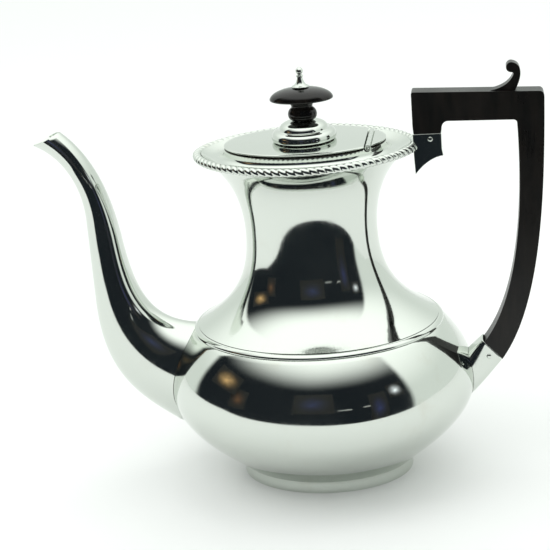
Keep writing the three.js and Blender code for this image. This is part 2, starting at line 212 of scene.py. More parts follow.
def slab(name, outline, half, bevel):
    """An outline in X and Z, as thick as 2 * half across Y, with rounded edges."""
    outline = np.asarray(outline, float)
    count = len(outline)
    vertices = [(x, y, z) for y in (-half, half) for x, z in outline]
    faces = [tuple(range(count)), tuple(range(2 * count - 1, count - 1, -1))]
    faces += [((j + 1) % count, j, count + j, count + (j + 1) % count) for j in range(count)]
    before = np.roll(outline, 1, axis=0)
    area = np.sum(before[:, 0] * outline[:, 1] - outline[:, 0] * before[:, 1])
    if area < 0:
        faces = [tuple(reversed(f)) for f in faces]
    piece = make_mesh(name, vertices, faces, sharp=30)
    if bevel:
        soften(piece, bevel)
    return piece


def soften(piece, width, segments=4, angle=50):
    edge = piece.modifiers.new("edges", "BEVEL")
    edge.width = width * MM
    edge.segments = segments
    edge.limit_method = "ANGLE"
    edge.angle_limit = math.radians(angle)
    edge.harden_normals = True
    apply_modifiers(piece)


def apply_modifiers(piece):
    graph = bpy.context.evaluated_depsgraph_get()
    graph.update()
    mesh = bpy.data.meshes.new_from_object(piece.evaluated_get(graph))
    piece.modifiers.clear()
    piece.data = mesh


def sharpen(piece):
    """Marks the sharp edges again, after a cut has made new ones."""
    piece.data.set_sharp_from_angle(angle=math.radians(SHARP))


def combine(piece, tool, operation):
    """Joins or cuts with another object, which is then deleted."""
    boolean = piece.modifiers.new("solid", "BOOLEAN")
    boolean.operation = operation
    boolean.object = tool
    boolean.solver = "EXACT"
    apply_modifiers(piece)
    bpy.data.objects.remove(tool)


# ---- the pot's ovals --------------------------------------------------------------------
def short_axis(a, z):
    along = np.clip((z - SHOULDER_Z) / (RIM_Z - SHOULDER_Z), 0, 1)
    return a - OVAL_INSET + WAIST_INSET_DROP * np.sin(math.pi * along) ** 2


def power_at(a, z):
    return 2 - RIM_POWER_DROP * smooth(44, 56, a) * smooth(150, 180, z)


def oval_ring(a, z, b=None, points=OVAL_POINTS):
    b = short_axis(a, z) if b is None else b
    turn = full_turn(points)
    bend = 2 / power_at(a, z)
    x = a * np.sign(np.cos(turn)) * np.abs(np.cos(turn)) ** bend
    y = b * np.sign(np.sin(turn)) * np.abs(np.sin(turn)) ** bend
    return np.stack([x, y, np.full(points, z)], 1)


def oval_skin(name, profile, loop=False, sharp=SHARP):
    return skin(name, [oval_ring(a, z) for a, z in profile], loop, sharp=sharp)


belly_curve = np.concatenate([
    bezier((48.5, FOOT_HEIGHT), (63, 20.8), (BELLY_A, 35), (BELLY_A, BELLY_Z), steps=40)[:-1],
    bezier((BELLY_A, BELLY_Z), (BELLY_A, 72), (SHOULDER_A, SHOULDER_Z), steps=36),
])
neck_curve = np.concatenate([
    bezier((SHOULDER_A - 0.3, SHOULDER_Z + 0.9), (46, 103), (WAIST_A, 116), (WAIST_A, WAIST_Z),
           steps=44)[:-1],
    bezier((WAIST_A, WAIST_Z), (WAIST_A, 162), (43.5, 177), (NECK_TOP_A, NECK_TOP_Z), steps=44),
])


def belly_side(point):
    """Below zero inside the belly, above zero outside it."""
    x, y, z = point
    a = np.interp(z, belly_curve[:, 1], belly_curve[:, 0])
    return (x / a) ** 2 + (y / short_axis(a, z)) ** 2 - 1


def surface_start(path, low, high):
    """The place between low and high where a path leaves the belly."""
    for _ in range(40):
        middle = (low + high) / 2
        if belly_side(path(middle)) < 0:
            low = middle
        else:
            high = middle
    return (low + high) / 2


# ---- body --------------------------------------------------------------------------------
STRAINER_R = 2                # nine round holes behind the spout
STRAINER_Y = (-7, 0, 7)
STRAINER_Z = (47, 54, 61)


def make_belly():
    outside = belly_curve[belly_curve[:, 1] < SHOULDER_Z - 2.3]
    top = (SHOULDER_A + 1.9, SHOULDER_Z - 2.2)
    outside = np.concatenate([outside, [top]])
    inside = offset(outside, WALL)[::-1]
    belly = oval_skin("belly", np.concatenate([outside, inside]), loop=True)
    turn = np.radians(np.arange(0, 360, 15))
    across, up = STRAINER_R * np.cos(turn), STRAINER_R * np.sin(turn)
    for y in STRAINER_Y:
        for z in STRAINER_Z:
            rings = [np.column_stack([np.full(len(turn), x - BELLY_A), y + across, z + up])
                     for x in (-6, 10)]
            combine(belly, skin("hole", rings), "DIFFERENCE")
    sharpen(belly)
    return belly


def make_base_plate():
    """The flat bottom, let in above the foot ring and faintly dished."""
    low, top = FOOT_HEIGHT, FOOT_HEIGHT + WALL
    profile = [(BASE_A, low + 0.2), (BASE_A, top - 0.1), (BASE_A - 0.2, top), (30, top + 0.2),
               (12, top + 0.35)]
    under = [(12, low + 0.35), (30, low + 0.2), (BASE_A - 0.3, low)]
    rings = [oval_ring(a, z, b=a * short_axis(BASE_A, low) / BASE_A) for a, z in under + profile]
    return skin("base_plate_sheet", rings)


def make_neck():
    inside = offset(neck_curve, WALL)[::-1]
    inside[:, 1] = np.clip(inside[:, 1], neck_curve[0, 1], NECK_TOP_Z)
    return oval_skin("neck", np.concatenate([neck_curve, inside]), loop=True)


def make_shoulder_wire():
    top = SHOULDER_Z + 0.7
    low = SHOULDER_Z - 2.0
    return oval_skin("shoulder_seam_wire", rounded([(66.0, low), (68.9, low + 0.1), (68.7, low + 1.3),
                     (67.0, top), (65.2, top), (65.2, low + 1)], 0.5), loop=True)


def make_foot():
    top = FOOT_HEIGHT
    profile = rounded([(FOOT_A - 2.4, 0), (FOOT_A, 0), (FOOT_A + 0.1, 1.0), (FOOT_A - 0.5, 5.6),
                       (FOOT_A - 0.3, top - 0.6), (FOOT_A - 0.6, top), (FOOT_A - 2.8, top),
                       (FOOT_A - 2.4, 3)], [0.3, 0.3, 0.6, 1.2, 0.3, 0.2, 0.3, 1.5], steps=6)
    return oval_skin("foot", profile, loop=True)


def make_rim_cover():
    collar = LID_A - 0.2
    flange = bezier((collar + 0.2, 187), (collar + 0.6, 183.6), (49, 182.6), (55.9, 187.1), steps=30)
    wall = bezier((collar, LEDGE_Z - 0.4), (collar + 0.2, 187), steps=4)[:-1]
    underside = offset(flange, -WALL)[3:-3][::-1]
    ledge = [(MOUTH_A, LEDGE_Z - WALL), (MOUTH_A, LEDGE_Z), (collar - 1.0, LEDGE_Z),
             (collar - 0.3, LEDGE_Z - 0.1)]
    end = [(55.9, NECK_TOP_Z + 0.5)]
    profile = np.concatenate([ledge, wall, flange, end, underside, [(collar - WALL, LEDGE_Z - WALL)]])
    cover = oval_skin("top_collar_and_flange", profile, loop=True)
    groove = [(KNUCKLE_R + HINGE_CLEARANCE, y) for y in (-30, 30)]
    combine(cover, turned_across("groove", groove, HINGE_X, HINGE_Z), "DIFFERENCE")
    sharpen(cover)
    return cover


GADROON_LOBES = 84
GADROON_R = 2.25
GADROON_DEPTH = 0.75          # of the hollows between its lobes


def make_gadroon():
    """A cast border of slanting lobes between two fine wires, laid round the rim."""
    a, samples = RIM_A - 2.3, GADROON_LOBES * 12
    ring = oval_ring(a, RIM_Z, points=4096)[:, :2]
    even = resampled(np.vstack([ring, ring[:1]]), samples)[:-1]
    along = np.roll(even, -1, axis=0) - np.roll(even, 1, axis=0)
    along /= np.linalg.norm(along, axis=1)[:, None]
    outward = np.stack([along[:, 1], -along[:, 0]], 1)
    place = np.arange(samples) / samples * GADROON_LOBES
    rings = []
    for turn in full_turn(28):
        slant = turn / math.pi
        lobe = np.abs(np.sin(math.pi * (place + slant))) ** 0.55
        on_top = smooth(-0.95, -0.2, math.sin(turn)) * smooth(-0.9, -0.3, math.cos(turn))
        radius = GADROON_R - GADROON_DEPTH * on_top * (1 - lobe)
        x = even + outward * (radius * math.cos(turn))[:, None] * 1.05
        z = RIM_Z + radius * math.sin(turn)
        rings.append(np.column_stack([x, z]))
    # the slant shifts the lobes by exactly two over a full turn, so the skin closes on itself
    return skin("gadroon_rim", rings, loop=True, sharp=60)


# ---- spout ---------------------------------------------------------------------------------
spout_under = resampled(np.concatenate([
    bezier((-81.6, 31), (-106, 46.5), (-124.3, 60), (-124.3, 104), steps=80)[:-1],
    bezier((-124.3, 104), (-123.9, 152), steps=20)[:-1],
    bezier((-123.9, 152), (-123.9, 170), (-131, 187), (-148.2, 194.6), steps=60),
]), 400)
spout_top = resampled(np.concatenate([
    bezier((-67.5, 88.5), (-92, 90), (-101.5, 104), (-105.6, 141.9), steps=80)[:-1],
    bezier((-105.6, 141.9), (-108, 158), (-113, 185), (-132.9, 201.4), steps=80),
]), 400)
SPOUT_START = 0.35            # how far back inside the belly its path begins, as a share of its length
SPOUT_MOUTH_HALF = 7.0
SPOUT_ROOT_HALF = 21.0
SPOUT_ROOT_SHIFT = np.array([22.0, -4.0])
SPOUT_SIDES = 96
SPOUT_ROWS = 110
SEAM_ROW = 0.0022             # how far up the spout its soldered seam reaches


def curve_at(curve, t):
    place = t * (len(curve) - 1)
    return np.array([np.interp(place, np.arange(len(curve)), curve[:, k]) for k in range(2)])


def spout_point(t, turn, inset):
    """A point of the spout: t runs from the belly (0) to the mouth (1), and below 0 inside the belly."""
    ahead = max(t, 0.0)
    under = curve_at(spout_under, ahead)
    top = curve_at(spout_top, ahead ** 1.75)
    centre = (under + top) / 2 + SPOUT_ROOT_SHIFT * max(-t, 0.0) / SPOUT_START
    reach = under - (under + top) / 2
    reach *= 1 - inset / np.linalg.norm(reach)
    half = SPOUT_MOUTH_HALF + (SPOUT_ROOT_HALF - SPOUT_MOUTH_HALF) * (1 - ahead) ** 1.6 - inset
    lip = 0.5 * smooth(0.86, 1, t)
    side = math.sin(turn) * half * (1 - lip * max(0.0, math.cos(turn)))
    spot = centre + reach * math.cos(turn)
    return np.array([spot[0], side, spot[1]])


def make_spout():
    turns = full_turn(SPOUT_SIDES)
    walls = []
    for inset in (0.0, WALL):
        starts = [surface_start(lambda t: spout_point(t, turn, inset), -SPOUT_START, 0.3) for turn in turns]
        rows = []
        for s in np.concatenate([[0, SEAM_ROW], np.linspace(0, 1, SPOUT_ROWS)[1:]]):
            rows.append([spout_point(low + (1 - low) * s, turn, inset) for low, turn in zip(starts, turns)])
        walls.append(np.array(rows))
    outer, inner = walls
    edge = (outer[-1] + inner[-1]) / 2
    direction = outer[-1].mean(axis=0) - outer[-4].mean(axis=0)
    edge += direction / np.linalg.norm(direction) * 0.35
    return skin("swan_spout", np.concatenate([outer, [edge], inner[::-1]]), loop=True, sharp=50)


# ---- handle and sockets ------------------------------------------------------------------------
UPPER_JOINT_Z = 192.6
UPPER_RIVET = (66.3, 189.4)
LOWER_RIVET = (92.6, 66.6)
LOWER_INWARD = np.array([-0.666, -0.746])
SOCKET_SIDES = 96
SOCKET_SEAM_ROW = 0.011       # how far up the lower socket its soldered seam reaches
THUMB_HALF = 3.4


def make_handle():
    outline = np.concatenate([
        [(57.9, UPPER_JOINT_Z), (72.0, UPPER_JOINT_Z)],
        bezier((72.4, 194.5), (72.7, 198.6), (76, 198.6), steps=8),
        bezier((109, 197.7), (111.2, 197.7), (111.2, 195.5), steps=6)[:-1],
        bezier((111.2, 195.5), (113.2, 154), (110.5, 100), (89.6, 73.6), steps=48),
        bezier((99.8, 64.5), (122, 96), (124.5, 160), (125.2, 209), steps=48)[:-1],
        bezier((125.2, 209), (125.2, 212), (122.5, 212), steps=6),
        bezier((58.6, 214.5), (57.5, 214.5), (57.5, 213.4), steps=4),
        bezier((57.5, 198), (57.5, 194), (57.9, UPPER_JOINT_Z), steps=4)[:-1],
    ])
    thumb = np.concatenate([
        bezier((96, 210.5), (97, 212.8), steps=1),
        bezier((97, 212.9), (103, 213.6), (108, 216), (109.8, 220.6), steps=16),
        bezier((109.8, 220.6), (110.2, 221.9), (108.9, 221.9), steps=5)[1:-1],
        arc(108.9, 224.5, 2.6, 270, 72, steps=20),
        bezier((109.7, 226.97), (115.5, 225.5), (114, 217.5), (109.6, 211), steps=20)[1:],
    ])
    handle = slab("ebony_handle", outline, HANDLE_HALF, 0)
    combine(handle, slab("thumb_piece", thumb, THUMB_HALF, 0), "UNION")
    soften(handle, 0.9, segments=4, angle=40)
    return handle


def make_upper_socket():
    outline = np.concatenate([
        rounded([(57.4, 184), (57.4, UPPER_JOINT_Z - GAP), (72.2, UPPER_JOINT_Z - GAP), (72.2, 184)], 0.3,
                closed=False),
        bezier((72.8, 180.4), (64.6, 179.3), (57.9, 170.6), steps=20),
    ])
    return slab("upper_handle_socket", outline, SOCKET_HALF, 0.5)


def make_lower_socket():
    top = resampled(bezier((72, 58), (80, 67.5), (89.2, 75.6), steps=60), 200)
    under = resampled(bezier((70, 30), (83, 42.8), (100, 64.2), steps=60), 200)

    def point(t, turn, inset=0.0):
        ahead = min(max(t, 0.0), 1.0)
        high, low = curve_at(top, ahead), curve_at(under, ahead)
        centre, reach = (high + low) / 2, (high - low) / 2
        reach = reach * (1 - inset / np.linalg.norm(reach))
        half = SOCKET_HALF + 0.2 + 9 * (1 - ahead) ** 1.8 - inset
        bend = 2 / (2 + 4 * smooth(0.2, 1, ahead))
        along = math.copysign(abs(math.cos(turn)) ** bend, math.cos(turn))
        side = math.copysign(abs(math.sin(turn)) ** bend, math.sin(turn))
        spot = centre + reach * along
        return np.array([spot[0], half * side, spot[1]])

    turns = full_turn(SOCKET_SIDES)
    starts = [surface_start(lambda t: point(t, turn), 0, 0.8) for turn in turns]
    rows = [[point(low + (1 - low) * s, turn) for low, turn in zip(starts, turns)]
            for s in np.concatenate([[0, SOCKET_SEAM_ROW], np.linspace(0, 1, 40)[1:]])]
    mouth = [[point(1, turn, inset) + np.array([LOWER_INWARD[0], 0, LOWER_INWARD[1]]) * depth
              for turn in turns] for inset, depth in ((0.15, -0.2), (0.5, -0.25), (0.8, 0), (0.9, 3))]
    return skin("lower_handle_socket", np.concatenate([rows, mouth]), sharp=50)


def make_rivet(name, place, head):
    dome = bezier((0.2, head), (1.0, head), (RIVET_R, head - 0.4), steps=6)
    side = np.concatenate([dome, [(RIVET_R, head - 0.9)]])
    profile = [(r, -y) for r, y in side] + [(r, y) for r, y in side[::-1]]
    return turned_across(name, profile, *place)


# ---- hinge -------------------------------------------------------------------------------------
KNUCKLES = [("body_knuckle_a", "body"), ("lid_knuckle_a", "lid"), ("body_knuckle_b", "body"),
            ("lid_knuckle_b", "lid"), ("body_knuckle_c", "body")]


def make_knuckle(index, name):
    pitch = (2 * HINGE_HALF_LENGTH + GAP) / len(KNUCKLES)
    start = -HINGE_HALF_LENGTH + index * pitch
    end = start + pitch - GAP
    bore = HINGE_PIN_R + 0.12
    profile = rounded([(bore, start), (KNUCKLE_R, start), (KNUCKLE_R, end), (bore, end)], 0.25)
    return turned_across(name, profile, HINGE_X, HINGE_Z, loop=True)


def make_hinge_pin():
    end = HINGE_HALF_LENGTH + 0.35
    side = [(0.2, end), (0.6, end - 0.1), (HINGE_PIN_R, end - 0.35)]
    profile = [(r, -y) for r, y in side] + [(r, y) for r, y in reversed(side)]
    return turned_across("hinge_rod", profile, HINGE_X, HINGE_Z)


def clip_x(piece, limit, keep_low):
    """Cuts a closed piece off straight at x = limit."""
    far = 200.0
    x0, x1 = (limit, far) if keep_low else (-far, limit)
    outline = [(x0, 150), (x1, 150), (x1, 250), (x0, 250)]
    combine(piece, slab("cutter", outline, 100, 0), "DIFFERENCE")


def plate_profile(crown):
    edge = arc(LID_A - 0.45, LID_TOP_Z - 0.45, 0.45, -20, 70, steps=5)
    inner = [(a, LID_TOP_Z + crown * (1 - (a / LID_A) ** 2)) for a in (41, 38, 34, 30)]
    low = LEDGE_Z + 0.15
    return np.concatenate([[(LID_A - 1.6, low), (LID_A - 1.2, low), (LID_A - 0.3, low + 0.5)], edge, inner])


def make_hinge_plate():
    plate = oval_skin("fixed_top_segment", plate_profile(0.0))
    clip_x(plate, HINGE_X + KNUCKLE_R + HINGE_CLEARANCE, keep_low=False)
    sharpen(plate)
    return plate


# ---- lid ---------------------------------------------------------------------------------------
LID_BACK = HINGE_X - KNUCKLE_R - HINGE_CLEARANCE


def make_lid_plate():
    plate = oval_skin("flush_lid", plate_profile(0.7))
    clip_x(plate, LID_BACK, keep_low=True)
    sharpen(plate)
    return plate


def make_bezel():
    top, low, outer = LEDGE_Z + 0.2, LEDGE_Z - 4.6, MOUTH_A - 1.6
    ring = oval_skin("lid_locating_band", rounded([(outer - 0.4, low), (outer, top), (outer - WALL, top),
                     (outer - WALL - 0.4, low)], 0.3), loop=True)
    clip_x(ring, LID_BACK - 1, keep_low=True)
    sharpen(ring)
    return ring


def make_boss():
    base = LID_TOP_Z + 0.8
    cushion = np.concatenate([
        bezier((16.2, base), (17.7, base + 0.5), (17.8, base + 4.0), (15.2, base + 5.0), steps=18),
        bezier((15.2, base + 5.0), (14.4, base + 5.4), (13.3, base + 5.3), (13.1, base + 5.9), steps=6)[1:],
    ])
    dome = bezier((13.1, base + 6.0), (12.6, base + 8.2), (10.0, base + 9.8), (6.3, base + 9.9), steps=24)
    inner = [(STUD_R + GAP, base + 9.7), (STUD_R + GAP, base + 8.9), (7.2, base + 8.3), (9.8, base + 7.2),
             (11.9, base + 5.4), (12.8, base + 4.6), (15.4, base + 4.2), (16.2, base + 3), (16.2, base + 0.9),
             (15.6, base)]
    return turned("knob_dome", np.concatenate([cushion, dome, inner]), loop=True)


def make_knob():
    base, top, hole = 201.6, 219.1, STUD_R + GAP
    outer = np.concatenate([
        [(hole + 0.3, base), (5.2, base)],
        bezier((5.2, base), (8.4, base + 0.7), (8.5, base + 5.4), (5.75, base + 7.0), steps=20)[1:],
        bezier((5.75, base + 7.0), (5.3, base + 7.5), (6.2, base + 9.6), (7.4, base + 10.7), steps=8)[1:],
        bezier((7.4, base + 10.85), (11, base + 10.7), (15.2, base + 10.9), steps=6),
        bezier((15.2, base + 10.9), (17.4, base + 11.1), (16.6, base + 12.6), steps=8)[1:],
        bezier((16.6, base + 12.6), (15.2, base + 15.6), (9.6, top - 0.3), (4.8, top), steps=22)[1:],
        [(hole + 0.3, top)],
    ])
    turn = full_turn(TURNED_POINTS)

    def ring(r, z, squash):
        return np.column_stack([r * np.cos(turn), r * np.sin(turn) * squash, np.full(len(turn), z)])

    rings = [ring(hole, base, 1.0)]
    rings += [ring(r, z, KNOB_OVAL if r > 2.2 else 1.0) for r, z in outer]
    rings += [ring(hole, top, 1.0)]
    return skin("ebony_knob", rings, loop=True, sharp=50)


def make_finial():
    base = 219.4
    profile = np.concatenate([
        [(0.02, 184.2), (STUD_R - 0.2, 184.2), (STUD_R, 184.5), (STUD_R, base)],
        bezier((4.4, base), (4.75, base + 0.25), (4.4, base + 0.6), steps=5),
        bezier((4.0, base + 0.7), (2.2, base + 1.6), (1.75, base + 3.6), (1.35, base + 5.2), steps=12),
        arc(1.4, base + 5.8, 0.55, -80, 80, steps=8),
        bezier((1.25, base + 6.5), (1.1, base + 6.9), (1.3, base + 7.2), steps=4),
        bezier((1.3, base + 7.2), (2.3, base + 7.6), (2.2, base + 9.0), (1.3, base + 9.8), steps=12)[1:],
        bezier((1.2, base + 9.9), (0.9, base + 10.3), (0.25, base + 10.55), steps=4),
    ])
    return turned("silver_finial", profile, points=64, sharp=50)


def make_washer():
    low, top, hole = LEDGE_Z - 1.2, LEDGE_Z + 0.15, STUD_R + 0.15
    return turned("inner_washer", rounded([(hole, low), (6.5, low), (6.5, top), (hole, top)], 0.25),
                  loop=True, points=64)


def make_nut():
    top, low = LEDGE_Z - 1.3, LEDGE_Z - 4.5
    turn = np.radians(np.arange(0, 360, 60))
    corners = rounded(np.stack([4.3 * np.cos(turn), 4.3 * np.sin(turn)], 1), 0.4, steps=3)
    round_hole = full_turn(len(corners))
    hole = np.stack([np.cos(round_hole), np.sin(round_hole)], 1) * (STUD_R + 0.12)

    def ring(flat, z, scale=1.0):
        return np.column_stack([flat * scale, np.full(len(flat), z)])

    rings = [ring(hole, low), ring(corners, low, 0.9), ring(corners, low + 0.4), ring(corners, top - 0.4),
             ring(corners, top, 0.9), ring(hole, top)]
    return skin("inner_nut", rings, loop=True)


# ---- materials ------------------------------------------------------------------------------------
class Nodes:
    """Builds one node material."""

    def __init__(self, name, **sockets):
        self.material = bpy.data.materials.new(name)
        self.material.use_nodes = True
        self.tree = self.material.node_tree
        self.shader = self.tree.nodes["Principled BSDF"]
        for socket, value in sockets.items():
            self.shader.inputs[socket.replace("_", " ")].default_value = value
        self.coordinates = self.add("ShaderNodeTexCoord").outputs["Object"]

    def add(self, kind, **values):
        node = self.tree.nodes.new(kind)
        for key, value in values.items():
            setattr(node, key, value)
        return node

    def link(self, source, target):
        self.tree.links.new(source, target)

    def noise(self, scale, detail=4.0, stretch=(1, 1, 1), rough=0.55):
        mapping = self.add("ShaderNodeMapping")
        mapping.inputs["Scale"].default_value = stretch
        self.link(self.coordinates, mapping.inputs["Vector"])
        node = self.add("ShaderNodeTexNoise")
        node.inputs["Scale"].default_value = scale
        node.inputs["Detail"].default_value = detail
        node.inputs["Roughness"].default_value = rough
        self.link(mapping.outputs["Vector"], node.inputs["Vector"])
        return node.outputs["Fac"]

    def span(self, source, low, high, to_low, to_high):
        node = self.add("ShaderNodeMapRange")
        for key, value in zip(("From Min", "From Max", "To Min", "To Max"), (low, high, to_low, to_high)):
            node.inputs[key].default_value = value
        self.link(source, node.inputs["Value"])
        return node.outputs["Result"]

    def math(self, operation, one, two):
        node = self.add("ShaderNodeMath", operation=operation)
        for socket, value in zip(node.inputs, (one, two)):
            if isinstance(value, (int, float)):
                socket.default_value = value
            else:
                self.link(value, socket)
        return node.outputs["Value"]

    def blend(self, amount, first, second):
        node = self.add("ShaderNodeMix", data_type="RGBA")
        self.link(amount, node.inputs["Factor"])
        for socket, value in zip((node.inputs[6], node.inputs[7]), (first, second)):
            if isinstance(value, tuple):
                socket.default_value = value
            else:
                self.link(value, socket)
        return node.outputs[2]

    def bump(self, layers):
        """Layers of (height, strength, distance in metres)."""
        normal = None
        for height, strength, distance in layers:
            node = self.add("ShaderNodeBump")
            node.inputs["Strength"].default_value = strength
            node.inputs["Distance"].default_value = distance
            self.link(height, node.inputs["Height"])
            if normal is not None:
                self.link(normal, node.inputs["Normal"])
            normal = node.outputs["Normal"]
        self.link(normal, self.shader.inputs["Normal"])


def silver_material(name, dull=0.0, wave=1.0, tarnish=0.25, recess=0.0, clean=(0.665, 0.70, 0.655, 1)):
    """Polished silver: hammered-out unevenness, fine polishing marks, thin brown tarnish, dark hollows from
    painted shade with some tarnish.
    """
    nodes = Nodes(name, Metallic=1.0)
    marks = nodes.noise(900, detail=3, stretch=(1, 1, 0.12))
    crossing = nodes.noise(700, detail=3, stretch=(0.15, 1, 1))
    cloud = nodes.noise(26, detail=5)
    roughness = nodes.math("ADD", nodes.span(marks, 0.3, 0.7, 0.03 + dull, 0.075 + dull),
                           nodes.span(cloud, 0.35, 0.7, 0.0, 0.05))
    nodes.link(roughness, nodes.shader.inputs["Roughness"])
    stain = nodes.math("MULTIPLY", nodes.span(nodes.noise(48, detail=8, rough=0.7), 0.55, 0.8, 0, 1),
                       nodes.span(cloud, 0.4, 0.65, 0, tarnish))
    color = nodes.blend(stain, clean, (0.45, 0.38, 0.27, 1))
    if recess:
        # painted shade with some tarnish: hollows and crevices, found by pointiness, are darkened towards
        # near-black
        hollow = nodes.span(nodes.add("ShaderNodeNewGeometry").outputs["Pointiness"], 0.40, 0.50, recess, 0)
        color = nodes.blend(hollow, color, (0.05, 0.045, 0.04, 1))
    nodes.link(color, nodes.shader.inputs["Base Color"])
    nodes.bump([(nodes.noise(22, detail=1), 0.45 * wave, 0.0012), (marks, 0.05, 0.00005),
                (crossing, 0.04, 0.00005)])
    return nodes.material


def ebony_material(name, stretch, polish):
    """Waxed ebony: close grain along the piece, small pores and a soft, uneven polish."""
    nodes = Nodes(name, Coat_Weight=0.35 * polish, Coat_Roughness=0.06, Specular_IOR_Level=0.3)
    grain = nodes.noise(260, detail=6, stretch=stretch, rough=0.6)
    pores = nodes.noise(1400, detail=2, stretch=stretch)
    wear = nodes.noise(35, detail=5)
    nodes.link(nodes.blend(nodes.span(grain, 0.35, 0.75, 0, 1), (0.0022, 0.0023, 0.0022, 1),
                           (0.009, 0.007, 0.0055, 1)), nodes.shader.inputs["Base Color"])
    nodes.link(nodes.math("ADD", nodes.span(wear, 0.3, 0.7, 0.26 - 0.16 * polish, 0.38 - 0.18 * polish),
                          nodes.span(pores, 0.4, 0.6, 0, 0.06)),
               nodes.shader.inputs["Roughness"])
    nodes.bump([(grain, 0.12, 0.0001), (pores, 0.1, 0.00005)])
    return nodes.material


def dress(piece, material, body, slot, *nodes, seam_and_shade_faces=None):
    """Gives a piece its material, body and nodes; the slot is not used. Picked faces get near-black silver:
    solder seams, painted shade in gaps.
    """
    piece.data.materials.clear()
    piece.data.materials.append(material)
    if seam_and_shade_faces:
        piece.data.materials.append(seam_and_gap_shade_silver)
        for face in piece.data.polygons:
            face.material_index = int(seam_and_shade_faces(face))
    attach(piece, body)
    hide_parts(*nodes)


# ---- pieces -----------------------------------------------------------------------------------------
sheet_silver = silver_material("sheet_silver")
cast_silver = silver_material("cast_silver", dull=0.03, wave=0.5, tarnish=0.6, recess=0.95)
# near-black silver: dark solder seams on the spout and lower socket, and painted shade in the narrow gaps
# above the foot and under the lid
seam_and_gap_shade_silver = silver_material("seam_and_gap_shade_silver", dull=0.3, wave=0.3, clean=(0.05, 0.048, 0.042, 1))
fitting_silver = silver_material("fitting_silver", dull=0.08, wave=0.3, tarnish=0.5)
handle_ebony = ebony_material("handle_ebony", (1, 1, 0.12), 0.15)
knob_ebony = ebony_material("knob_ebony", (1, 1, 0.3), 1.0)

POLISHED, FITTINGS, EBONY = "polished_silver", "silver_fittings", "ebony"
dress(make_belly(), sheet_silver, "body", POLISHED, "belly_bowl")
dress(make_base_plate(), sheet_silver, "body", POLISHED, "base_plate")
dress(make_neck(), sheet_silver, "body", POLISHED, "neck_shell")
dress(make_shoulder_wire(), sheet_silver, "body", POLISHED, "shoulder_wire")
# painted shade: the foot's top faces, where the belly sits on it, are coloured near-black for the shade in
# that gap
dress(make_foot(), sheet_silver, "body", POLISHED, "foot_ring",
      seam_and_shade_faces=lambda face: face.center.z > (FOOT_HEIGHT - 0.35) * MM)
# painted shade, with some dirt: the ledge under the lid's edge is coloured near-black for the dark gap round
# the lid
dress(make_rim_cover(), sheet_silver, "body", POLISHED, "rim_cover",
      seam_and_shade_faces=lambda face: face.center.z > (LEDGE_Z - 0.25) * MM)
dress(make_gadroon(), cast_silver, "body", POLISHED, "gadroon_border")
dress(make_spout(), sheet_silver, "body", POLISHED, "spout", seam_and_shade_faces=lambda face: face.index < SPOUT_SIDES)
dress(make_upper_socket(), sheet_silver, "body", POLISHED, "upper_socket")
dress(make_lower_socket(), sheet_silver, "body", POLISHED, "lower_socket",
      seam_and_shade_faces=lambda face: face.index < SOCKET_SIDES)
dress(make_handle(), handle_ebony, "body", EBONY, "handle")
dress(make_rivet("upper_rivet", UPPER_RIVET, 6.25), fitting_silver, "body", FITTINGS, "upper_handle_rivet")
dress(make_rivet("lower_rivet", LOWER_RIVET, 6.75), fitting_silver, "body", FITTINGS, "lower_handle_rivet")
dress(make_hinge_plate(), sheet_silver, "body", POLISHED, "hinge_plate")
dress(make_hinge_pin(), fitting_silver, "body", FITTINGS, "hinge_pin")
for index, (node, side) in enumerate(KNUCKLES):
    dress(make_knuckle(index, "hinge_" + node), cast_silver, side, POLISHED, node)
dress(make_lid_plate(), sheet_silver, "lid", POLISHED, "lid_plate")
dress(make_bezel(), sheet_silver, "lid", POLISHED, "lid_bezel")
dress(make_boss(), sheet_silver, "lid", POLISHED, "knob_boss")
dress(make_knob(), knob_ebony, "lid", EBONY, "knob")
dress(make_finial(), cast_silver, "lid", POLISHED, "finial_stud")
dress(make_washer(), fitting_silver, "lid", FITTINGS, "knob_washer")
dress(make_nut(), fitting_silver, "lid", FITTINGS, "knob_nut")


# ---- stage ---------------------------------------------------------------------------------------------
FRONT = math.radians(9.0)                 # the camera's side of the pot, seen from above
OPENING = FRONT - math.radians(25)        # the middle of the white tent's opening, nearer the spout
FRONT_VECTOR = (math.sin(FRONT), -math.cos(FRONT), 0)


def flat_material(name, color, glow=(0, 0, 0), rough=0.7):
    material = bpy.data.materials.new(name)
    material.use_nodes = True
    shader = material.node_tree.nodes["Principled BSDF"]
    shader.inputs["Base Color"].default_value = (*color, 1)
    shader.inputs["Roughness"].default_value = rough
    shader.inputs["Emission Color"].default_value = (*glow, 1)
    shader.inputs["Emission Strength"].default_value = 1.0
    return material


def fade_out(material, size):
    """Lets a card's glow die away towards its edges."""
    tree = material.node_tree
    mapping = tree.nodes.new("ShaderNodeMapping")
    mapping.inputs["Scale"].default_value = (2 / size[0], 2 / size[1], 1)
    fall = tree.nodes.new("ShaderNodeTexGradient")
    fall.gradient_type = "QUADRATIC_SPHERE"
    cloud = tree.nodes.new("ShaderNodeTexNoise")
    cloud.inputs["Scale"].default_value = 9
    gain = tree.nodes.new("ShaderNodeMath")
    gain.operation = "MULTIPLY"
    place = tree.nodes.new("ShaderNodeTexCoord").outputs["Object"]
    tree.links.new(place, mapping.inputs["Vector"])
    tree.links.new(place, cloud.inputs["Vector"])
    tree.links.new(mapping.outputs["Vector"], fall.inputs["Vector"])
    tree.links.new(fall.outputs["Fac"], gain.inputs[0])
    tree.links.new(cloud.outputs["Fac"], gain.inputs[1])
    boost = tree.nodes.new("ShaderNodeMath")
    boost.operation = "MULTIPLY"
    boost.inputs[1].default_value = 3.2
    tree.links.new(gain.outputs["Value"], boost.inputs[0])
    tree.links.new(boost.outputs["Value"], tree.nodes["Principled BSDF"].inputs["Emission Strength"])


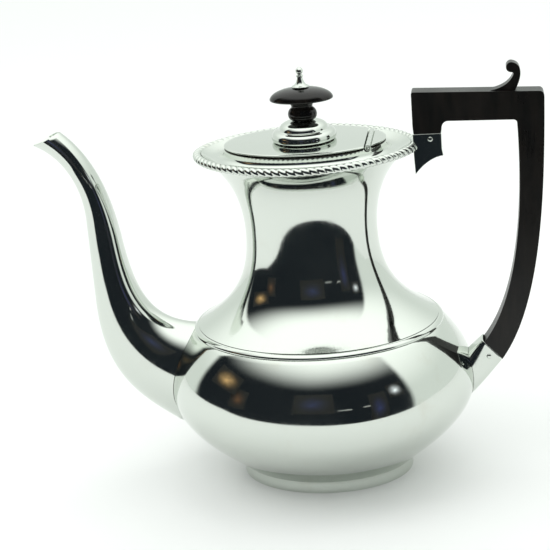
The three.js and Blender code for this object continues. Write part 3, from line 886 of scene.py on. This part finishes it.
def card(name, side, height, distance, size, glow, soft=False):
    """A card outside the picture, seen only in the silver. Side is its angle from FRONT, in degrees."""
    turn = FRONT + math.radians(side)
    centre = Vector((math.sin(turn) * distance, -math.cos(turn) * distance, height))
    mesh = bpy.data.meshes.new(name)
    w, h = size[0] / 2, size[1] / 2
    mesh.from_pydata([(-w, -h, 0), (w, -h, 0), (w, h, 0), (-w, h, 0)], [], [(0, 1, 2, 3)])
    material = flat_material(name, (0, 0, 0), glow)
    if soft:
        fade_out(material, size)
    mesh.materials.append(material)
    piece = add_object(name, mesh)
    piece.location = centre
    piece.rotation_mode = "QUATERNION"
    piece.rotation_quaternion = (Vector((AXIS_X, 0, height)) - centre).to_track_quat("Z", "Y")
    piece.visible_camera = False
    piece.visible_diffuse = False
    piece.visible_shadow = False


TABLE_FRONT = 0.33            # how far the floor sheet runs in front of the pot, in metres
TABLE_BACK = 5.0
TABLE_HALF = 1.2


def make_floor():
    """A white sheet that ends not far in front of the pot and runs on behind it."""
    mesh = bpy.data.meshes.new("floor")
    ahead = np.array(FRONT_VECTOR[:2])
    across = np.array([-ahead[1], ahead[0]])
    corners = [(TABLE_FRONT, -TABLE_HALF), (TABLE_FRONT, TABLE_HALF), (-TABLE_BACK, 4 * TABLE_HALF),
               (-TABLE_BACK, -4 * TABLE_HALF)]
    mesh.from_pydata([(*(ahead * u + across * v), 0.0) for u, v in corners], [], [(0, 1, 2, 3)])
    mesh.materials.append(flat_material("pale_floor", (0.86, 0.87, 0.86), rough=0.8))
    floor = add_object("floor", mesh)


WALL_TONE = (0.88, 0.94, 0.89, 1)
CEILING_TONE = (1.5, 1.55, 1.5, 1)
ROOM_TONE = (0.012, 0.016, 0.02, 1)
OPENING_SIDES = (0.12, 0.22)  # where the walls give way to the room: cosine of the angle from OPENING
OPENING_TOP = (0.58, 0.93)    # where the room gives way to the ceiling: upward part of the direction
CEILING_START = (0.25, 0.95)
DIFFUSE_STRENGTH = 1.12


def make_world():
    """Silver mirrors white walls and ceiling with a dark opening in front. All else is lit evenly."""
    world = bpy.data.worlds.new("studio")
    bpy.context.scene.world = world
    world.use_nodes = True
    tree = world.node_tree

    def add(kind, **values):
        node = tree.nodes.new(kind)
        for key, value in values.items():
            setattr(node, key, value)
        return node

    def span(source, low, high, to_low=0.0, to_high=1.0):
        node = add("ShaderNodeMapRange", interpolation_type="SMOOTHSTEP")
        for key, value in zip(("From Min", "From Max", "To Min", "To Max"), (low, high, to_low, to_high)):
            node.inputs[key].default_value = value
        tree.links.new(source, node.inputs["Value"])
        return node.outputs["Result"]

    def blend(amount, first, second):
        node = add("ShaderNodeMix", data_type="RGBA")
        tree.links.new(amount, node.inputs["Factor"])
        for socket, value in zip((node.inputs[6], node.inputs[7]), (first, second)):
            if isinstance(value, tuple):
                socket.default_value = value
            else:
                tree.links.new(value, socket)
        return node.outputs[2]

    def emit(color, strength=1.0):
        node = add("ShaderNodeBackground")
        node.inputs["Strength"].default_value = strength
        if isinstance(color, tuple):
            node.inputs["Color"].default_value = color
        else:
            tree.links.new(color, node.inputs["Color"])
        return node.outputs["Background"]

    way = add("ShaderNodeTexCoord").outputs["Generated"]
    parts = add("ShaderNodeSeparateXYZ")
    tree.links.new(way, parts.inputs["Vector"])
    level = add("ShaderNodeVectorMath", operation="MULTIPLY")
    level.inputs[1].default_value = (1, 1, 0)
    tree.links.new(way, level.inputs[0])
    unit = add("ShaderNodeVectorMath", operation="NORMALIZE")
    tree.links.new(level.outputs["Vector"], unit.inputs[0])
    ahead = add("ShaderNodeVectorMath", operation="DOT_PRODUCT")
    ahead.inputs[1].default_value = (math.sin(OPENING), -math.cos(OPENING), 0)
    tree.links.new(unit.outputs["Vector"], ahead.inputs[0])
    height = parts.outputs["Z"]
    opening = add("ShaderNodeMath", operation="MULTIPLY")
    tree.links.new(span(ahead.outputs["Value"], *OPENING_SIDES), opening.inputs[0])
    tree.links.new(span(height, *OPENING_TOP, 1.0, 0.0), opening.inputs[1])
    walls = blend(span(height, *CEILING_START), WALL_TONE, CEILING_TONE)
    pattern = emit(blend(opening.outputs["Value"], walls, ROOM_TONE))

    path = add("ShaderNodeLightPath")
    mirrored = add("ShaderNodeMixShader")
    tree.links.new(path.outputs["Is Glossy Ray"], mirrored.inputs["Fac"])
    tree.links.new(emit((0.97, 1.0, 0.98, 1), DIFFUSE_STRENGTH), mirrored.inputs[1])
    tree.links.new(pattern, mirrored.inputs[2])
    seen = add("ShaderNodeMixShader")
    tree.links.new(path.outputs["Is Camera Ray"], seen.inputs["Fac"])
    tree.links.new(mirrored.outputs["Shader"], seen.inputs[1])
    tree.links.new(emit((1, 1, 1, 1)), seen.inputs[2])
    tree.links.new(seen.outputs["Shader"], tree.nodes["World Output"].inputs["Surface"])


def make_lights():
    for name, place, size, power in (("left_softbox", (-0.8, -0.3, 1.2), 0.8, 3.0),
                                     ("top_softbox", (0.3, 0.3, 1.5), 1.0, 3.0)):
        light = bpy.data.lights.new(name, "AREA")
        light.size = size
        light.energy = power
        lamp = add_object(name, light)
        lamp.location = place
        lamp.rotation_mode = "QUATERNION"
        lamp.rotation_quaternion = (Vector((0, 0, 0.1)) - Vector(place)).to_track_quat("-Z", "Y")
        lamp.visible_glossy = False


# ---- camera ---------------------------------------------------------------------------------------------
CAMERA_AZIMUTH = FRONT
CAMERA_ELEVATION = math.radians(19.4)
CAMERA_ROLL = math.radians(4.95)
CAMERA_DISTANCE = 0.800
AIM_SIDEWAYS = -0.0217
AIM_HEIGHT = 0.1167
VIEW_WIDTH = 0.3003           # what the picture's width spans at the aim point, in metres


def make_camera():
    turn, lift = CAMERA_AZIMUTH, CAMERA_ELEVATION
    back = Vector((math.sin(turn) * math.cos(lift), -math.cos(turn) * math.cos(lift), math.sin(lift)))
    right = Vector((math.cos(turn), math.sin(turn), 0))
    up = back.cross(right)
    aim = Vector((AXIS_X, 0, AIM_HEIGHT)) + right * AIM_SIDEWAYS
    camera = add_object("camera", bpy.data.cameras.new("camera"))
    camera.data.sensor_width = 36
    camera.data.lens = 36 * CAMERA_DISTANCE / VIEW_WIDTH
    rolled_right = right * math.cos(CAMERA_ROLL) - up * math.sin(CAMERA_ROLL)
    rolled_up = right * math.sin(CAMERA_ROLL) + up * math.cos(CAMERA_ROLL)
    axes = Matrix((rolled_right, rolled_up, back)).transposed()
    camera.matrix_world = Matrix.Translation(aim + back * CAMERA_DISTANCE) @ axes.to_4x4()
    bpy.context.scene.camera = camera


make_floor()
make_world()
make_lights()
make_camera()
# each card: side in degrees, height and distance in metres, width and height in metres, glow
card("warm_card", -80, 0.66, 1.2, (0.55, 0.42), (0.52, 0.32, 0.13), soft=True)
card("brown_card", -64, 0.40, 1.3, (0.30, 0.50), (0.09, 0.04, 0.015), soft=True)
card("blue_card_left", -12, 0.50, 1.2, (0.60, 0.60), (0.012, 0.018, 0.06), soft=True)
card("blue_card_right", 30, 0.20, 1.2, (0.26, 0.80), (0.012, 0.018, 0.075), soft=True)
card("strip_left", 8, 0.34, 1.6, (0.22, 0.025), (0.75, 0.78, 0.75))
card("strip_right", 22, 0.37, 1.6, (0.16, 0.025), (0.8, 0.8, 0.76))
card("window", 44, 0.66, 1.5, (0.30, 0.44), (0.9, 0.95, 1.0), soft=True)
bpy.context.scene.view_settings.view_transform = "Standard"
